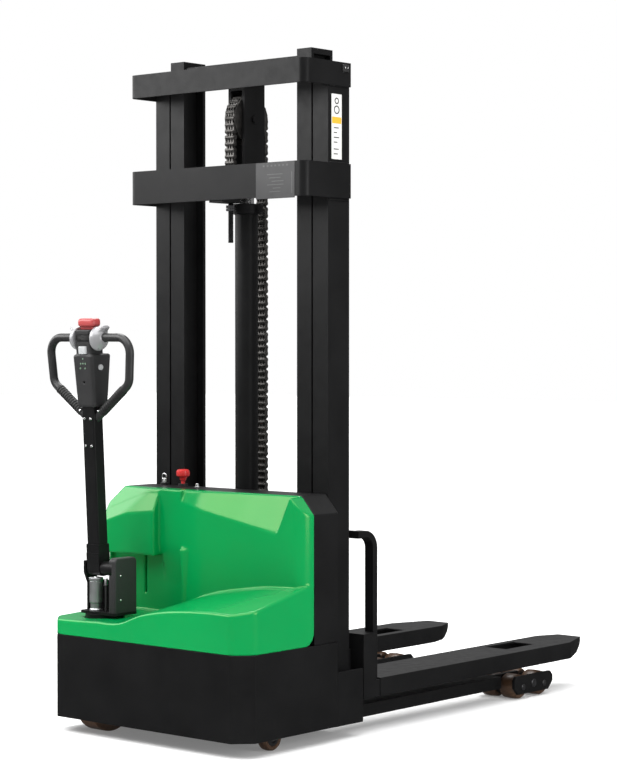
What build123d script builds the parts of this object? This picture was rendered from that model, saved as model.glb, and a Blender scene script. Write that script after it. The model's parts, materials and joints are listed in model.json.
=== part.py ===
"""Walkie stacker: two-stage mast, one lift cylinder, one chain, forks over support legs.

Truck axes while modelling, in millimetres: +X to the operator's right, +Y towards the
fork tips, +Z up from the floor, X = 0 on the truck's centreline and Y = 0 at the bumper.
save() moves each finished piece so that the origin is the middle of the footprint.
"""
from build123d import *
import math
import os

# ---- driving dimensions -------------------------------------------------------------
WIDTH = 800.0
HALF = WIDTH / 2
CORNER = 49.5
SKIRT_LOW = 45.0
SKIRT_TOP = 291.0
SKIRT_WALL = 5.0
HOOD_LOW = 291.5
HOOD_TOP = 719.0
HOOD_FRONT = 240.0
HOOD_REAR = 302.0
COVER_REAR = 408.0
BEVEL = 47.0
BEVEL_DROP = 52.0
HOOD_WALL = 6.0

MAST_FRONT = 421.8
MAST_REAR = 518.2
MAST_MID = (MAST_FRONT + MAST_REAR) / 2
FLANGE = 11.0
OUTER_RAIL_OUT = 350.0
OUTER_RAIL_IN = 292.0
INNER_RAIL_OUT = 286.0
INNER_RAIL_IN = 230.0
INNER_WEB = (257.0, 265.0)
OUTER_RAIL_TOP = 1975.0
INNER_RAIL_LOW = 100.0
INNER_RAIL_TOP = 2005.0
INNER_CAP_TOP = 2022.0
FOOT_TOP = 58.0

BEAM_FRONT = 310.6
BEAM_OUT = 356.0
BEAM_BEND = 24.0
BEAM_PLATE = 10.0
UPPER_BEAM = (1908.0, 1978.0)
LOWER_BEAM = (1582.0, 1683.0)

SHEAVE_Y = 455.0
SHEAVE_Z = 1830.0
CHAIN_HALF_WIDTH = 17.5
CHAIN_THICK = 17.0
SHEAVE_ROOT = 61.7
CHAIN_PITCH_RADIUS = SHEAVE_ROOT + 0.3 + CHAIN_THICK / 2
BARREL_RADIUS = 35.0
BARREL_BORE = 29.0
ROD_RADIUS = 22.5
BARREL_TOP = 1545.0
GLAND_TOP = 1571.0
ROLLER_RADIUS = 36.4
UPPER_ROLLER_Z = 1929.0
LOWER_ROLLER_Z = 160.0
CARRIAGE_ROLLERS_Z = (230.0, 430.0)

FORK_IN = 200.0
FORK_OUT = 380.0
FORK_MID = (FORK_IN + FORK_OUT) / 2
FORK_TOP = 160.0
FORK_LOW = 105.0
FORK_PLATE = 6.0
FORK_HEEL = 608.5
FORK_TIP = 1780.0
SHANK_TOP = 297.0
LEG_CHANNEL = (242.0, 335.5)
SLOT = (229.0, 313.0, 1365.0, 1530.0)
CARRIAGE_FRONT = 524.0
CARRIAGE_BAR = 540.0
CARRIAGE_REAR = 555.0
CARRIAGE_TOP = 602.0
GUARD_X = 352.0
GUARD_Y = 619.0
GUARD_WIDTH = 33.0
GUARD_THICK = 21.0

LEG_HALF_WIDTH = 43.0
LEG_WALL = 8.0
LEG_LOW = 40.0
LEG_TOP = 78.0
LEG_END = 1312.0
BOGIE_Y = 1440.0
BOGIE_Z = 47.0
BOGIE_HALF = 108.0
BOGIE_TOP = 77.0
LOAD_WHEEL_RADIUS = 40.0
LOAD_WHEEL_OFFSET = 59.0

STEER_X = -262.0
STEER_Y = 112.0
DRIVE_RADIUS = 95.0
DRIVE_WIDTH = 65.0
YOKE_LOW = 352.0
ARM_X = -272.0
PIVOT_Y = 96.0
PIVOT_Z = 487.0
ARM_LEAN = 3.0
ARM_WIDTH = 50.0
ARM_DEPTH = 40.0
LOOP_HALF_WIDTH = 184.5
LOOP_TUBE = 12.5
LOOP_LOW = 441.0
LOOP_TOP = 688.0
HEAD_LOW = 482.0
HEAD_SHOULDER = 633.0
HEAD_TOP = 712.0

CASTER_X = 333.0
CASTER_Y = 165.0
CASTER_TRAIL = 18.0
CASTER_RADIUS = 37.5
PANEL_Y = 385.0
ESTOP_X = -200.0
KEY_X = -280.0

RUN = 0.05


# ---- helpers ------------------------------------------------------------------------
def block(x, y, z):
    """Box between the pairs x, y and z."""
    size = [pair[1] - pair[0] for pair in (x, y, z)]
    middle = [(pair[1] + pair[0]) / 2 for pair in (x, y, z)]
    return Pos(*middle) * Box(*size)


def across(side, low, high):
    """Pair of X limits on one side of the centreline, in rising order."""
    return tuple(sorted((side * low, side * high)))


def rod_x(radius, x, y, z):
    """Round bar along X between the pair x."""
    length = x[1] - x[0]
    return Pos((x[0] + x[1]) / 2, y, z) * Rot(0, 90, 0) * Cylinder(radius, length)


def rod_y(radius, x, y, z):
    """Round bar along Y between the pair y."""
    length = y[1] - y[0]
    return Pos(x, (y[0] + y[1]) / 2, z) * Rot(90, 0, 0) * Cylinder(radius, length)


def rod_z(radius, x, y, z):
    """Round bar along Z between the pair z."""
    length = z[1] - z[0]
    return Pos(x, y, (z[0] + z[1]) / 2) * Cylinder(radius, length)


def prism_x(points, x):
    """Closed outline of (y, z) points, extruded along X between the pair x."""
    outline = [Vector(x[0], y, z) for y, z in points]
    face = Face(Wire.make_polygon(outline, close=True))
    return Solid.extrude(face, Vector(x[1] - x[0], 0, 0))


def prism_y(points, y):
    """Closed outline of (x, z) points, extruded along Y between the pair y."""
    outline = [Vector(x, y[0], z) for x, z in points]
    face = Face(Wire.make_polygon(outline, close=True))
    return Solid.extrude(face, Vector(0, y[1] - y[0], 0))


def prism_z(points, z):
    """Closed outline of (x, y) points, extruded along Z between the pair z."""
    outline = [Vector(x, y, z[0]) for x, y in points]
    face = Face(Wire.make_polygon(outline, close=True))
    return Solid.extrude(face, Vector(0, 0, z[1] - z[0]))


def rounded(shape, axis, radius, places):
    """Fillet the edges along an axis whose middle is near one of the (a, b) places."""
    keep = {Axis.X: (1, 2), Axis.Y: (0, 2), Axis.Z: (0, 1)}
    first, second = keep[axis]
    chosen = []
    for edge in shape.edges().filter_by(axis):
        middle = tuple(edge.center())
        for a, b in places:
            if math.hypot(middle[first] - a, middle[second] - b) < 1.0:
                chosen.append(edge)
    return fillet(chosen, radius)


def save(node, *solids):
    """Write one node, moved to the row's origin."""
    shapes = [TO_ORIGIN * solid for solid in solids]
    whole = shapes[0] if len(shapes) == 1 else Compound(children=shapes)
    export_step(whole, f"parts/{node}.step")


# ---- chassis ------------------------------------------------------------------------
def plan_outline(inset, rear):
    """The truck's plan: square at the rear, corners cut at 45 degrees in front."""
    side = HALF - inset
    cut = CORNER - inset * (2 - math.sqrt(2))
    return [(-side, rear), (-side, inset + cut), (-side + cut, inset),
            (side - cut, inset), (side, inset + cut), (side, rear)]


def make_skirt():
    outer = prism_z(plan_outline(0, COVER_REAR), (SKIRT_LOW, SKIRT_TOP))
    inner = prism_z(plan_outline(SKIRT_WALL, COVER_REAR + 1), (SKIRT_LOW - 1, SKIRT_TOP + 1))
    return outer - inner


def make_base_frame():
    """Welded frame: mounting plate, side plates, mast foot, caster mount."""
    plate = prism_z(plan_outline(SKIRT_WALL + 5, 420), (200, 208))
    plate -= rod_z(60 + 2 * RUN, STEER_X, STEER_Y, (190, 220))
    sides = [block(across(s, 380, 390), (230, 535), (50, 200)) for s in (-1, 1)]
    foot = block((-390, 390), (410, 535), (42, FOOT_TOP))
    wall = block((-380, 380), (410, 418), (FOOT_TOP, 200))
    front_tube = block((-140, 260), (12, 52), (150, 200))
    caster_plate = block((270, 380), (100, 250), (100, 110))
    caster_post = block((270, 290), (240, 250), (110, 200))
    frame = plate + sides[0] + sides[1] + foot + wall + front_tube
    frame = frame + caster_plate + caster_post
    return frame - rod_z(8 + RUN, CASTER_X, CASTER_Y, (90, 120))


def deck_profile(y, inset):
    """Outline of the hood's low front part across the truck at one distance back."""
    left = -HALF + inset
    right = HALF - inset
    front = [(-400, 333), (-270, 336), (-130, 340), (-20, 367), (105, 392), (250, 401),
             (400, 391)]
    rear = [(-400, 345), (-270, 345), (-130, 348), (-20, 400), (105, 437), (250, 451),
            (400, 452)]
    share = y / HOOD_FRONT
    tops = [(a[0], a[1] * (1 - share) + b[1] * share - inset) for a, b in zip(front, rear)]
    tops[0] = (left, tops[0][1])
    tops[-1] = (right, tops[-1][1])
    ridge = Spline(*[(x, y, z) for x, z in tops])
    low = HOOD_LOW if inset == 0 else HOOD_LOW - 1
    rest = Polyline(ridge @ 1, (right, y, low), (left, y, low), ridge @ 0)
    return Face(Wire([*ridge.edges(), *rest.edges()]))


def make_deck(inset):
    """Low front part, lofted from front to rear and cut to the truck's plan."""
    far = HOOD_FRONT + 20
    loft_solid = Solid.make_loft([deck_profile(y, inset).outer_wire() for y in (0, far)], True)
    return loft_solid & prism_z(plan_outline(inset, far), (HOOD_LOW - 2, HOOD_TOP))


def visor_cut(side):
    """Sloping facet that gets taller towards one side of the hood's upper front."""
    inner_x, outer_x = (-60, 297) if side > 0 else (-100, -400)
    inner_z, outer_z = (671, 607) if side > 0 else (684, 640)
    low_inner = Vector(inner_x, HOOD_FRONT, inner_z)
    low_outer = Vector(outer_x, HOOD_FRONT, outer_z)
    high_outer = Vector(outer_x, HOOD_REAR, HOOD_TOP)
    normal = (low_outer - low_inner).cross(high_outer - low_inner).normalized()
    if normal.Z < 0:
        normal = normal * -1
    plane = Plane(origin=low_inner, x_dir=(low_outer - low_inner).normalized(), z_dir=normal)
    return plane * Pos(0, 0, 150) * Box(1600, 700, 300)


def section_outline(half, top, low):
    """Hood section across the truck, with the two top bevels."""
    return [(-half, low), (half, low), (half, top - BEVEL_DROP), (half - BEVEL, top),
            (-half + BEVEL, top), (-half, top - BEVEL_DROP)]


def make_hood():
    upper = prism_y(section_outline(HALF, HOOD_TOP, HOOD_LOW), (HOOD_FRONT, HOOD_REAR))
    upper = rounded(upper, Axis.Z, 45, [(HALF, HOOD_FRONT)])
    upper = rounded(upper, Axis.Z, 20, [(-HALF, HOOD_FRONT)])
    for side in (-1, 1):
        upper -= visor_cut(side)
    room = prism_y(section_outline(HALF - HOOD_WALL, HOOD_TOP - HOOD_WALL, HOOD_LOW - 1),
                   (HOOD_FRONT + HOOD_WALL, HOOD_REAR + 1))
    room = rounded(room, Axis.Z, 39, [(HALF - HOOD_WALL, HOOD_FRONT + HOOD_WALL)])
    room = rounded(room, Axis.Z, 14, [(-HALF + HOOD_WALL, HOOD_FRONT + HOOD_WALL)])
    for side in (-1, 1):
        room -= Pos(0, 0, -HOOD_WALL * 1.6) * visor_cut(side)
    niche_room = block((-HALF + 10, -45), (HOOD_FRONT - 1, HOOD_REAR - 6), (320, 526))
    niche = block((-HALF + 18, -52), (HOOD_FRONT - 1, HOOD_REAR - 12), (347, 518))
    low = make_deck(0)
    low_room = make_deck(HOOD_WALL)
    hood = (low + upper) - (low_room - niche_room) - (room - niche_room) - niche
    hood -= rod_z(61, STEER_X, STEER_Y, (300, 400))
    return hood


def make_rear_cover():
    outer = prism_y(section_outline(HALF, HOOD_TOP, HOOD_LOW), (HOOD_REAR + 0.5, COVER_REAR))
    inner = prism_y(section_outline(HALF - 4, HOOD_TOP - 4, HOOD_LOW - 1),
                    (HOOD_REAR, COVER_REAR - 4))
    holes = rod_z(10.2, ESTOP_X, PANEL_Y, (700, 730)) + rod_z(9.2, KEY_X, PANEL_Y, (700, 730))
    return outer - inner - holes


def make_outer_rail(side):
    """C section, open towards the truck's centreline."""
    z = (FOOT_TOP, OUTER_RAIL_TOP)
    web = block(across(side, OUTER_RAIL_OUT - 9, OUTER_RAIL_OUT), (MAST_FRONT, MAST_REAR), z)
    flange_x = across(side, OUTER_RAIL_IN, OUTER_RAIL_OUT - 9)
    front = block(flange_x, (MAST_FRONT, MAST_FRONT + FLANGE), z)
    rear = block(flange_x, (MAST_REAR - FLANGE, MAST_REAR), z)
    stub = rod_x(12, across(side, 288, OUTER_RAIL_OUT - 9), MAST_MID, UPPER_ROLLER_Z)
    pin = rod_x(8, across(side, 266, 289), MAST_MID, UPPER_ROLLER_Z)
    return web + front + rear + stub + pin


def make_crossbeam(z, with_bracket):
    """Flat bar bent round the front of the mast, its ends along the rails' sides."""
    corner_out = [(BEAM_OUT, BEAM_FRONT), (-BEAM_OUT, BEAM_FRONT)]
    outer = block((-BEAM_OUT, BEAM_OUT), (BEAM_FRONT, MAST_REAR), z)
    outer = rounded(outer, Axis.Z, BEAM_BEND, corner_out)
    inner_x = OUTER_RAIL_OUT
    inner_y = BEAM_FRONT + BEAM_PLATE
    inner = block((-inner_x, inner_x), (inner_y, MAST_REAR + 5), (z[0] - 1, z[1] + 1))
    inner = rounded(inner, Axis.Z, BEAM_BEND - 8, [(inner_x, inner_y), (-inner_x, inner_y)])
    beam = outer - inner
    for side in (-1, 1):
        beam += block(across(side, 318, 350), (inner_y - 2, MAST_FRONT), (z[1] - 12, z[1] - 2))
    if with_bracket:
        front_y = SHEAVE_Y - CHAIN_PITCH_RADIUS
        beam += block((-27, 27), (inner_y - 2, front_y + 16), (z[0] - 6, z[0] + 28))
        beam -= rod_z(8 + RUN, 0, front_y, (z[0] - 10, z[0] + 40))
    return beam


def make_leg(side):
    """Support leg: box tube with a tongue that carries the bogie's pivot pin."""
    mid = side * FORK_MID
    tube = block((mid - LEG_HALF_WIDTH, mid + LEG_HALF_WIDTH), (535, LEG_END), (LEG_LOW, LEG_TOP))
    hollow = LEG_HALF_WIDTH - LEG_WALL
    tube -= block((mid - hollow, mid + hollow), (530, LEG_END - 10),
                  (LEG_LOW + LEG_WALL, LEG_TOP - LEG_WALL))
    tongue = block((mid - 8, mid + 8), (LEG_END - 1, BOGIE_Y + 16), (58, LEG_TOP))
    tongue += block((mid - 8, mid + 8), (BOGIE_Y - 16, BOGIE_Y + 16), (32, 60))
    return tube + tongue - rod_x(10 + RUN, (mid - 20, mid + 20), BOGIE_Y, BOGIE_Z)


def make_barrel():
    tube = rod_z(BARREL_RADIUS, 0, SHEAVE_Y, (FOOT_TOP, BARREL_TOP))
    return tube - rod_z(BARREL_BORE, 0, SHEAVE_Y, (FOOT_TOP + 20, BARREL_TOP + 1))


def make_gland():
    collar = rod_z(BARREL_RADIUS + 2, 0, SHEAVE_Y, (BARREL_TOP, GLAND_TOP))
    spigot = rod_z(BARREL_BORE, 0, SHEAVE_Y, (BARREL_TOP - 25, BARREL_TOP))
    return collar + spigot - rod_z(ROD_RADIUS + RUN, 0, SHEAVE_Y, (BARREL_TOP - 30, GLAND_TOP + 1))


def make_chain_anchor():
    """Threaded bolt with two nuts and a clevis block for the chain."""
    y = SHEAVE_Y - CHAIN_PITCH_RADIUS
    bolt = rod_z(8, 0, y, (1458, 1614))
    for z in (1553, 1562):
        bolt += Pos(0, y, z) * extrude(RegularPolygon(13, 6), 7.5)
    return bolt + block((-CHAIN_HALF_WIDTH, CHAIN_HALF_WIDTH), (y - 8.5, y + 8.5), (1611, 1640))


def make_battery():
    case = block((-30, 380), (256, 398), (209, 400))
    lid = block((-32, 382), (254, 400), (400, 412))
    posts = [rod_z(9, x, 300, (412, 424)) for x in (20, 330)]
    return case + lid + posts[0] + posts[1]


def make_pump_unit():
    """Hydraulic power pack: tank, valve block and motor in line."""
    tank = block((-370, -200), (312, 398), (215, 330))
    valve = block((-200, -150), (322, 388), (230, 320))
    motor = rod_x(40, (-150, -50), 355, 275)
    return tank + valve + motor


def make_controller():
    case = block((120, 330), (300, 380), (440, 590))
    fins = [block((135 + 22 * i, 141 + 22 * i), (290, 300), (450, 580)) for i in range(9)]
    for fin in fins:
        case += fin
    return case


def make_switch_collars():
    """Panel nuts that hold the emergency stop and the key switch."""
    solids = []
    for x, neck, nut, bore in ((ESTOP_X, 10, 15, 6), (KEY_X, 9, 12, 4)):
        collar = rod_z(neck, x, PANEL_Y, (690, HOOD_TOP)) + rod_z(nut, x, PANEL_Y, (HOOD_TOP, 727))
        solids.append(collar - rod_z(bore + RUN, x, PANEL_Y, (700, 730)))
    return solids


# ---- switches on the roof -----------------------------------------------------------
def make_estop_button():
    stem = rod_z(6, ESTOP_X, PANEL_Y, (708, 735))
    neck = rod_z(11, ESTOP_X, PANEL_Y, (735, 750))
    head = rod_z(20.5, ESTOP_X, PANEL_Y, (750, 771))
    return stem + neck + fillet(head.edges().group_by(Axis.Z)[-1], 6)


def make_key():
    stem = rod_z(4, KEY_X, PANEL_Y, (706, 733))
    bow = rod_y(12, KEY_X, (PANEL_Y - 1.5, PANEL_Y + 1.5), 743)
    return stem + bow - rod_y(4, KEY_X, (PANEL_Y - 3, PANEL_Y + 3), 746)


# ---- steering unit ------------------------------------------------------------------
def make_gearbox():
    """Drive leg beside the wheel, with the axle and the swivel journal."""
    side_x = (STEER_X + DRIVE_WIDTH / 2 + 3, STEER_X + 72)
    leg = block(side_x, (STEER_Y - 42, STEER_Y + 42), (52, 196))
    leg = rounded(leg, Axis.X, 30, [(STEER_Y - 42, 52), (STEER_Y + 42, 52)])
    journal = rod_z(60, STEER_X, STEER_Y, (194, 232))
    axle = rod_x(15, (STEER_X - 25, side_x[0] + 1), STEER_Y, DRIVE_RADIUS)
    return leg + journal + axle


def make_drive_motor():
    motor = rod_z(52, STEER_X, STEER_Y, (232, 322))
    return chamfer(motor.edges().group_by(Axis.Z)[0], 3)


def make_drive_hub():
    half = DRIVE_WIDTH / 2
    hub = rod_x(70, (STEER_X - half, STEER_X + half), STEER_Y, DRIVE_RADIUS)
    hub -= rod_x(15 + RUN, (STEER_X - half - 1, STEER_X + half + 1), STEER_Y, DRIVE_RADIUS)
    for i in range(5):
        angle = math.radians(72 * i + 18)
        y = STEER_Y + 42 * math.cos(angle)
        z = DRIVE_RADIUS + 42 * math.sin(angle)
        hub -= rod_x(7, (STEER_X - half - 1, STEER_X - half + 14), y, z)
    return hub


def make_drive_tyre():
    half = DRIVE_WIDTH / 2
    tyre = rod_x(DRIVE_RADIUS, (STEER_X - half, STEER_X + half), STEER_Y, DRIVE_RADIUS)
    tyre = fillet(tyre.edges().filter_by(GeomType.CIRCLE), 5)
    return tyre - rod_x(70, (STEER_X - half - 1, STEER_X + half + 1), STEER_Y, DRIVE_RADIUS)


def make_yoke():
    """Swivel plate on the drive motor, with the left cheek and a rear web."""
    disc = rod_z(58, STEER_X, STEER_Y, (322, YOKE_LOW))
    plate = block((-320, -167), (62, 158), (YOKE_LOW, YOKE_LOW + 8))
    plate = fillet(plate.edges().filter_by(Axis.Z), 12)
    cheek = prism_x([(92, YOKE_LOW + 8), (136, YOKE_LOW + 8), (122, 507), (78, 507), (78, 472),
                     (92, 440)], (-318, -310))
    cheek = cheek - rod_x(12 + RUN, (-330, -300), PIVOT_Y, PIVOT_Z)
    web = block((-310, -222), (126, 134), (YOKE_LOW + 8, 448))
    return disc + plate + cheek + web


def make_pivot_housing():
    """Rounded box beside the yoke; the sleeve of the tiller's pivot sits in a recess in it."""
    box = block((-198, -169), (64, 155), (YOKE_LOW + 8, 522))
    box = rounded(box, Axis.X, 14, [(64, 522), (155, 522)])
    box = rounded(box, Axis.Z, 5, [(-198, 64), (-169, 64)])
    recess = rod_x(24, (-200, -184), PIVOT_Y, PIVOT_Z) + block((-200, -184), (60, 96), (470, 504))
    return box - recess - rod_x(12 + RUN, (-215, -176), PIVOT_Y, PIVOT_Z)


def make_pivot_shaft():
    shaft = rod_x(12, (-318, -177), PIVOT_Y, PIVOT_Z)
    sleeve = rod_x(21, (-246, -185), PIVOT_Y, PIVOT_Z)
    return shaft + sleeve


def make_return_spring():
    """Spring canister under the arm's boss."""
    low = YOKE_LOW + 8
    body = rod_z(17, ARM_X, 86, (low, low + 24)) + rod_z(20, ARM_X, 86, (low + 24, 450))
    cap = rod_z(21.5, ARM_X, 86, (450, 459))
    return body + cap - rod_z(8 + RUN, ARM_X, 86, (low + 8, 460))


def make_plunger():
    pin = rod_z(8, ARM_X, 86, (402, 461.5))
    return fillet(pin.edges().group_by(Axis.Z)[-1], 3)


# ---- tiller: modelled upright about its pivot, then leaned towards the operator -----
def lean(shape):
    """Place a shape modelled about the pivot, with +Z up along the arm."""
    return Pos(ARM_X, PIVOT_Y, PIVOT_Z) * Rot(ARM_LEAN, 0, 0) * shape


def make_arm():
    half = ARM_WIDTH / 2
    boss = block((-half, half), (-22, 22), (-23.5, 42))
    boss = rounded(boss, Axis.X, 18, [(22, -23.5), (-22, -23.5)])
    ears = block((-half - 1.5, half + 1), (-23, 23), (18, 46))
    tube = block((-half, half), (-ARM_DEPTH / 2, ARM_DEPTH / 2), (42, HEAD_LOW + 60))
    tube = fillet(tube.edges().filter_by(Axis.Z), 5)
    sleeve = block((-half - 1.5, half + 1.5), (-21.5, 21.5), (42, 72))
    arm = boss + ears + tube + sleeve
    return lean(arm - rod_x(12 + RUN, (-40, 40), 0, 0))


def make_head():
    """Tapered housing with a narrower top that carries the handle and the switches."""
    low = Pos(0, 3, HEAD_LOW) * RectangleRounded(74, 60, 9)
    high = Pos(0, 7, HEAD_SHOULDER) * RectangleRounded(84, 82, 12)
    lower = loft([low, high])
    upper = block((-31, 31), (-30, 26), (HEAD_SHOULDER, HEAD_TOP))
    barrel = rod_x(23, (-34, 34), -6, LOOP_TOP)
    half = ARM_WIDTH / 2
    socket = block((-half, half), (-ARM_DEPTH / 2, ARM_DEPTH / 2), (HEAD_LOW - 1, HEAD_LOW + 60))
    head = lower + upper + barrel - socket
    head -= rod_x(LOOP_TUBE, (-50, 50), 0, LOOP_TOP)
    for pocket in (horn_body(0.3, 4), side_button(1, 0.3, 4), side_button(-1, 0.3, 4)):
        head -= pocket
    return lean(head - block((-28, 28), (-10, 14), (HEAD_TOP - 8, HEAD_TOP + 1)))


def horn_body(gap, travel):
    """Square push button on the front of the head, or the pocket it travels in."""
    return block((-15 - gap, 17 + gap), (-36, -22 + travel), (640 - gap, 664 + gap))


def side_button(side, gap, travel):
    """Round push button on one side of the head, or the pocket it travels in."""
    return rod_x(9 + gap, across(side, 33 - travel, 44.5), 2, 600)


def make_loop():
    """Handle: one tube bent into a loop, its ends meeting in the arm."""
    half = LOOP_HALF_WIDTH - LOOP_TUBE
    points = [(9, LOOP_LOW), (half - 12, 552), (half, LOOP_TOP), (-half, LOOP_TOP),
              (-half + 12, 552), (-9, LOOP_LOW)]
    path = FilletPolyline(*[(x, 0, z) for x, z in points], radius=[38, 46, 46, 38])
    tube = sweep(Plane(origin=path @ 0, z_dir=path % 0) * Circle(LOOP_TUBE), path=path)
    return lean(tube)


def make_throttle():
    """Two thumb wings that rock together about the handle's top bar."""
    wings = []
    for side in (-1, 1):
        x = across(side, 36, 54)
        disc = rod_x(27, x, 0, LOOP_TOP) + rod_x(17, x, -8, LOOP_TOP - 30)
        nose = rod_x(13, x, -12, LOOP_TOP + 22)
        wing = disc + nose + block(x, (-22, 6), (LOOP_TOP - 30, LOOP_TOP + 12))
        wings.append(lean(wing - rod_x(LOOP_TUBE + 0.3, (-80, 80), 0, LOOP_TOP)))
    return wings


def make_belly_switch():
    """Red paddle on top of the head; it travels down the arm's line."""
    stem = block((-27.5, 27.5), (-9.5, 13.5), (HEAD_TOP - 1, HEAD_TOP + 10))
    pad = block((-34, 34), (-18, 20), (HEAD_TOP + 10, HEAD_TOP + 34))
    pad = fillet(pad.edges().group_by(Axis.Z)[-1], 8)
    return lean(stem + pad)


# ---- caster, bogies and load wheels --------------------------------------------------
def make_caster_fork():
    stem = rod_z(8, CASTER_X, CASTER_Y, (97, 112))
    crown = rod_z(26, CASTER_X, CASTER_Y, (84, 99.7))
    axle_y = CASTER_Y + CASTER_TRAIL
    cheeks = []
    for side in (-1, 1):
        x = sorted((CASTER_X + side * 17, CASTER_X + side * 21))
        cheeks.append(prism_x([(CASTER_Y - 14, 86), (CASTER_Y + 30, 86), (axle_y + 11, 32),
                               (axle_y - 11, 32)], x))
    crown += block((CASTER_X - 21, CASTER_X + 21), (CASTER_Y - 14, CASTER_Y + 30), (82, 88))
    pin = rod_x(5, (CASTER_X - 21, CASTER_X + 21), axle_y, CASTER_RADIUS)
    return stem + crown + cheeks[0] + cheeks[1] + pin


def make_caster_wheel():
    y = CASTER_Y + CASTER_TRAIL
    wheel = rod_x(CASTER_RADIUS, (CASTER_X - 16, CASTER_X + 16), y, CASTER_RADIUS)
    wheel = fillet(wheel.edges().filter_by(GeomType.CIRCLE), 4)
    return wheel - rod_x(5 + RUN, (CASTER_X - 20, CASTER_X + 20), y, CASTER_RADIUS)


def make_bogie(side):
    """Two side plates joined by the pivot pin and the two wheel pins."""
    mid = side * FORK_MID
    outline = [(-BOGIE_HALF, 40), (-BOGIE_HALF + 22, 18), (BOGIE_HALF - 26, 18),
               (BOGIE_HALF, 44), (BOGIE_HALF, 62), (BOGIE_HALF - 14, BOGIE_TOP),
               (-BOGIE_HALF + 10, BOGIE_TOP), (-BOGIE_HALF, 66)]
    points = [(BOGIE_Y + y, z) for y, z in outline]
    frame = prism_x(points, (mid - 81, mid - 71)) + prism_x(points, (mid + 71, mid + 81))
    frame += rod_x(10, (mid - 82.5, mid + 82.5), BOGIE_Y, BOGIE_Z)
    for offset in (-LOAD_WHEEL_OFFSET, LOAD_WHEEL_OFFSET):
        frame += rod_x(8, (mid - 75, mid + 75), BOGIE_Y + offset, LOAD_WHEEL_RADIUS)
    return frame


def make_load_wheel(side, offset):
    """Two rollers that share one axle, one each side of the leg's tongue."""
    mid = side * FORK_MID
    y = BOGIE_Y + offset
    rollers = []
    for x in ((mid - 68, mid - 11), (mid + 11, mid + 68)):
        roller = rod_x(LOAD_WHEEL_RADIUS, x, y, LOAD_WHEEL_RADIUS)
        roller = fillet(roller.edges().filter_by(GeomType.CIRCLE), 4)
        rollers.append(roller - rod_x(8 + RUN, (x[0] - 1, x[1] + 1), y, LOAD_WHEEL_RADIUS))
    return rollers


# ---- inner mast ----------------------------------------------------------------------
def make_inner_rail(side):
    """I section; a stub at its foot carries the lower mast roller."""
    z = (INNER_RAIL_LOW, INNER_RAIL_TOP)
    flange_x = across(side, INNER_RAIL_IN, INNER_RAIL_OUT)
    rail = block(flange_x, (MAST_FRONT, MAST_FRONT + FLANGE), z)
    rail += block(flange_x, (MAST_REAR - FLANGE, MAST_REAR), z)
    rail += block(across(side, *INNER_WEB), (MAST_FRONT + 1, MAST_REAR - 1), z)
    rail += rod_x(12, across(side, 264, 298), MAST_MID, LOWER_ROLLER_Z)
    rail += rod_x(8, across(side, 297, 322), MAST_MID, LOWER_ROLLER_Z)
    cap = block(flange_x, (MAST_FRONT, MAST_REAR), (INNER_RAIL_TOP, INNER_CAP_TOP))
    return rail + cap


def make_top_bracket():
    """Top crossmember with the clevis that carries the chain sheave and the rod."""
    bar = block((-INNER_RAIL_IN, INNER_RAIL_IN), (430, 510), (1952, 2003))
    clevis = block((-33, 33), (410, 500), (1915, 1960))
    for side in (-1, 1):
        clevis += block(across(side, 22, 33), (410, 500), (1618, 1920))
    foot = block((-23, 23), (418, 492), (1618, 1655))
    pin = rod_x(12, (-38, 38), SHEAVE_Y, SHEAVE_Z)
    return bar + clevis + foot + pin


def make_bottom_crossmember():
    return block((-INNER_RAIL_IN, INNER_RAIL_IN), (498, 516), (102, 137))


def make_piston_rod():
    rod = rod_z(ROD_RADIUS, 0, SHEAVE_Y, (140, 1618))
    return rod + rod_z(BARREL_BORE - 0.08, 0, SHEAVE_Y, (128, 158))


def make_sheave():
    wheel = rod_x(SHEAVE_ROOT, (-18.5, 18.5), SHEAVE_Y, SHEAVE_Z)
    for side in (-1, 1):
        wheel += rod_x(CHAIN_PITCH_RADIUS + 4, across(side, 17.8, 20.5), SHEAVE_Y, SHEAVE_Z)
    return wheel - rod_x(12 + RUN, (-30, 30), SHEAVE_Y, SHEAVE_Z)


def make_rollers(x, z):
    """A left and a right guide roller on one line across the truck."""
    rollers = []
    for side in (-1, 1):
        roller = rod_x(ROLLER_RADIUS, across(side, *x), MAST_MID, z)
        rollers.append(roller - rod_x(8 + RUN, (-400, 400), MAST_MID, z))
    return rollers


def make_chain_strand(y, z):
    return block((-CHAIN_HALF_WIDTH, CHAIN_HALF_WIDTH),
                 (y - CHAIN_THICK / 2, y + CHAIN_THICK / 2), z)


# ---- carriage ------------------------------------------------------------------------
def make_carriage_frame():
    """Uprights, cross bars, fork shanks and the roller plates inside the mast."""
    frame = block((-368, 368), (CARRIAGE_BAR, CARRIAGE_REAR), (580, CARRIAGE_TOP))
    frame += block((-330, 330), (CARRIAGE_BAR, CARRIAGE_REAR), (150, 250))
    for side in (-1, 1):
        frame += block(across(side, 205, 325), (CARRIAGE_FRONT, CARRIAGE_BAR + 1),
                       (150, CARRIAGE_TOP))
        frame += block(across(side, 205, 217), (436, CARRIAGE_FRONT + 1), (190, 470))
        shank = block(across(side, FORK_IN, FORK_OUT), (CARRIAGE_BAR + 10, FORK_HEEL),
                      (FORK_LOW, SHANK_TOP))
        frame += shank - block(across(side, *LEG_CHANNEL), (CARRIAGE_BAR, FORK_HEEL + 1),
                               (FORK_LOW - 1, FORK_TOP - FORK_PLATE + 1))
        for z in CARRIAGE_ROLLERS_Z:
            frame += rod_x(12, across(side, 216, 232.5), MAST_MID, z)
            frame += rod_x(8, across(side, 231, 255.5), MAST_MID, z)
    y = SHEAVE_Y + CHAIN_PITCH_RADIUS
    return frame + block((-24, 24), (y - 14, CARRIAGE_BAR + 2), (205, 345))


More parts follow.
